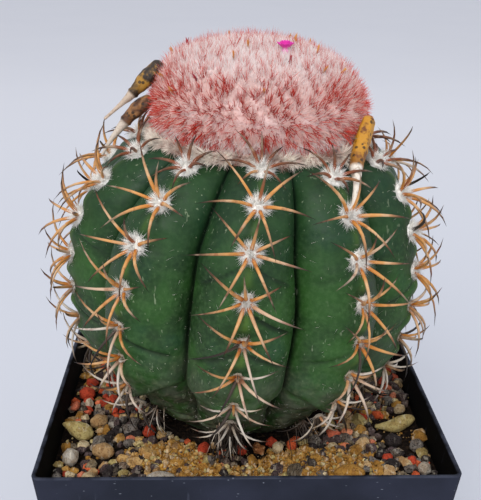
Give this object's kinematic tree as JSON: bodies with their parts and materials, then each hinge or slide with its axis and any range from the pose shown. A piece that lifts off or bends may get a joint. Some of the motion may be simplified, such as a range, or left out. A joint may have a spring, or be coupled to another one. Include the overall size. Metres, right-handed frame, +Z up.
{
  "type": "potted cactus",
  "caption": "Globular ribbed turk's cap cactus with hooked spines and a bristly pink woolly cap, in a square black plastic pot of mixed mineral grit.",
  "frame": {"origin": "middle of the pot's flat underside, on the surface that it stands on", "axes": "+Z up, -Y towards the front of the plant as the picture shows it, +X to its right, along a side of the square pot"},
  "size_m": [0.1613, 0.1627, 0.273],
  "materials": {
    "pot": "near-black plastic with a blue-grey sheen, satin, dusty and lightly scuffed",
    "grit": "mixed mineral grit, dull broken stone in tan, brick red, ochre, grey and mauve",
    "skin": "living green cactus skin, satin, with creases, cork at the foot, pale wool pads and tan to black spines",
    "cap": "matt cream wool with pink-red bristles",
    "petals": "soft magenta petals",
    "dried_fruit": "dry mustard-yellow fruit skin with black specks, pale collar and stalk",
    "dried_fruit_brown": "dry dark brown and yellow fruit skin with a pale stalk",
    "dried_fruit_husk": "thin dry brown fruit skin with a pale stalk",
    "husk": "crumpled dry brown husk",
    "stone_brick": "dull brick-red stone",
    "stone_dark": "dark porous lava stone",
    "stone_grey": "dull grey stone",
    "stone_ochre": "sandy ochre stone",
    "stone_olive": "dull olive broken stone",
    "stone_orange": "dull orange stone",
    "stone_pale": "pale cream and quartz stone",
    "stone_red": "dull red stone",
    "stone_tan": "dull tan broken stone",
    "stone_yellow": "dull yellow-green broken stone"
  },
  "bodies": {
    "root": {"pot": "pot", "grit": "grit", "stem": "skin", "cephalium": "cap", "flower": "petals", "dried_fruit_right": "dried_fruit", "dried_fruit_left_upper": "dried_fruit_brown", "dried_fruit_left_lower": "dried_fruit_husk", "dry_husk": "husk", "pebble_yellow_green": "stone_yellow", "pebble_tan": "stone_tan", "pebble_olive": "stone_olive", "pebble_ochre": "stone_ochre", "pebble_grey_white": "stone_pale", "pebble_beige": "stone_tan", "pebble_cream": "stone_pale", "pebble_quartz": "stone_pale", "pebble_lava": "stone_dark", "pebble_grey": "stone_grey", "pebble_brick": "stone_brick", "pebble_orange": "stone_orange", "pebble_white": "stone_pale", "pebble_red": "stone_red", "pebble_small_red": "stone_red", "pebble_heart": "stone_tan", "pebble_coral": "stone_orange", "pebble_brick_left": "stone_brick", "pebble_pale": "stone_pale"}
  },
  "joints": []
}
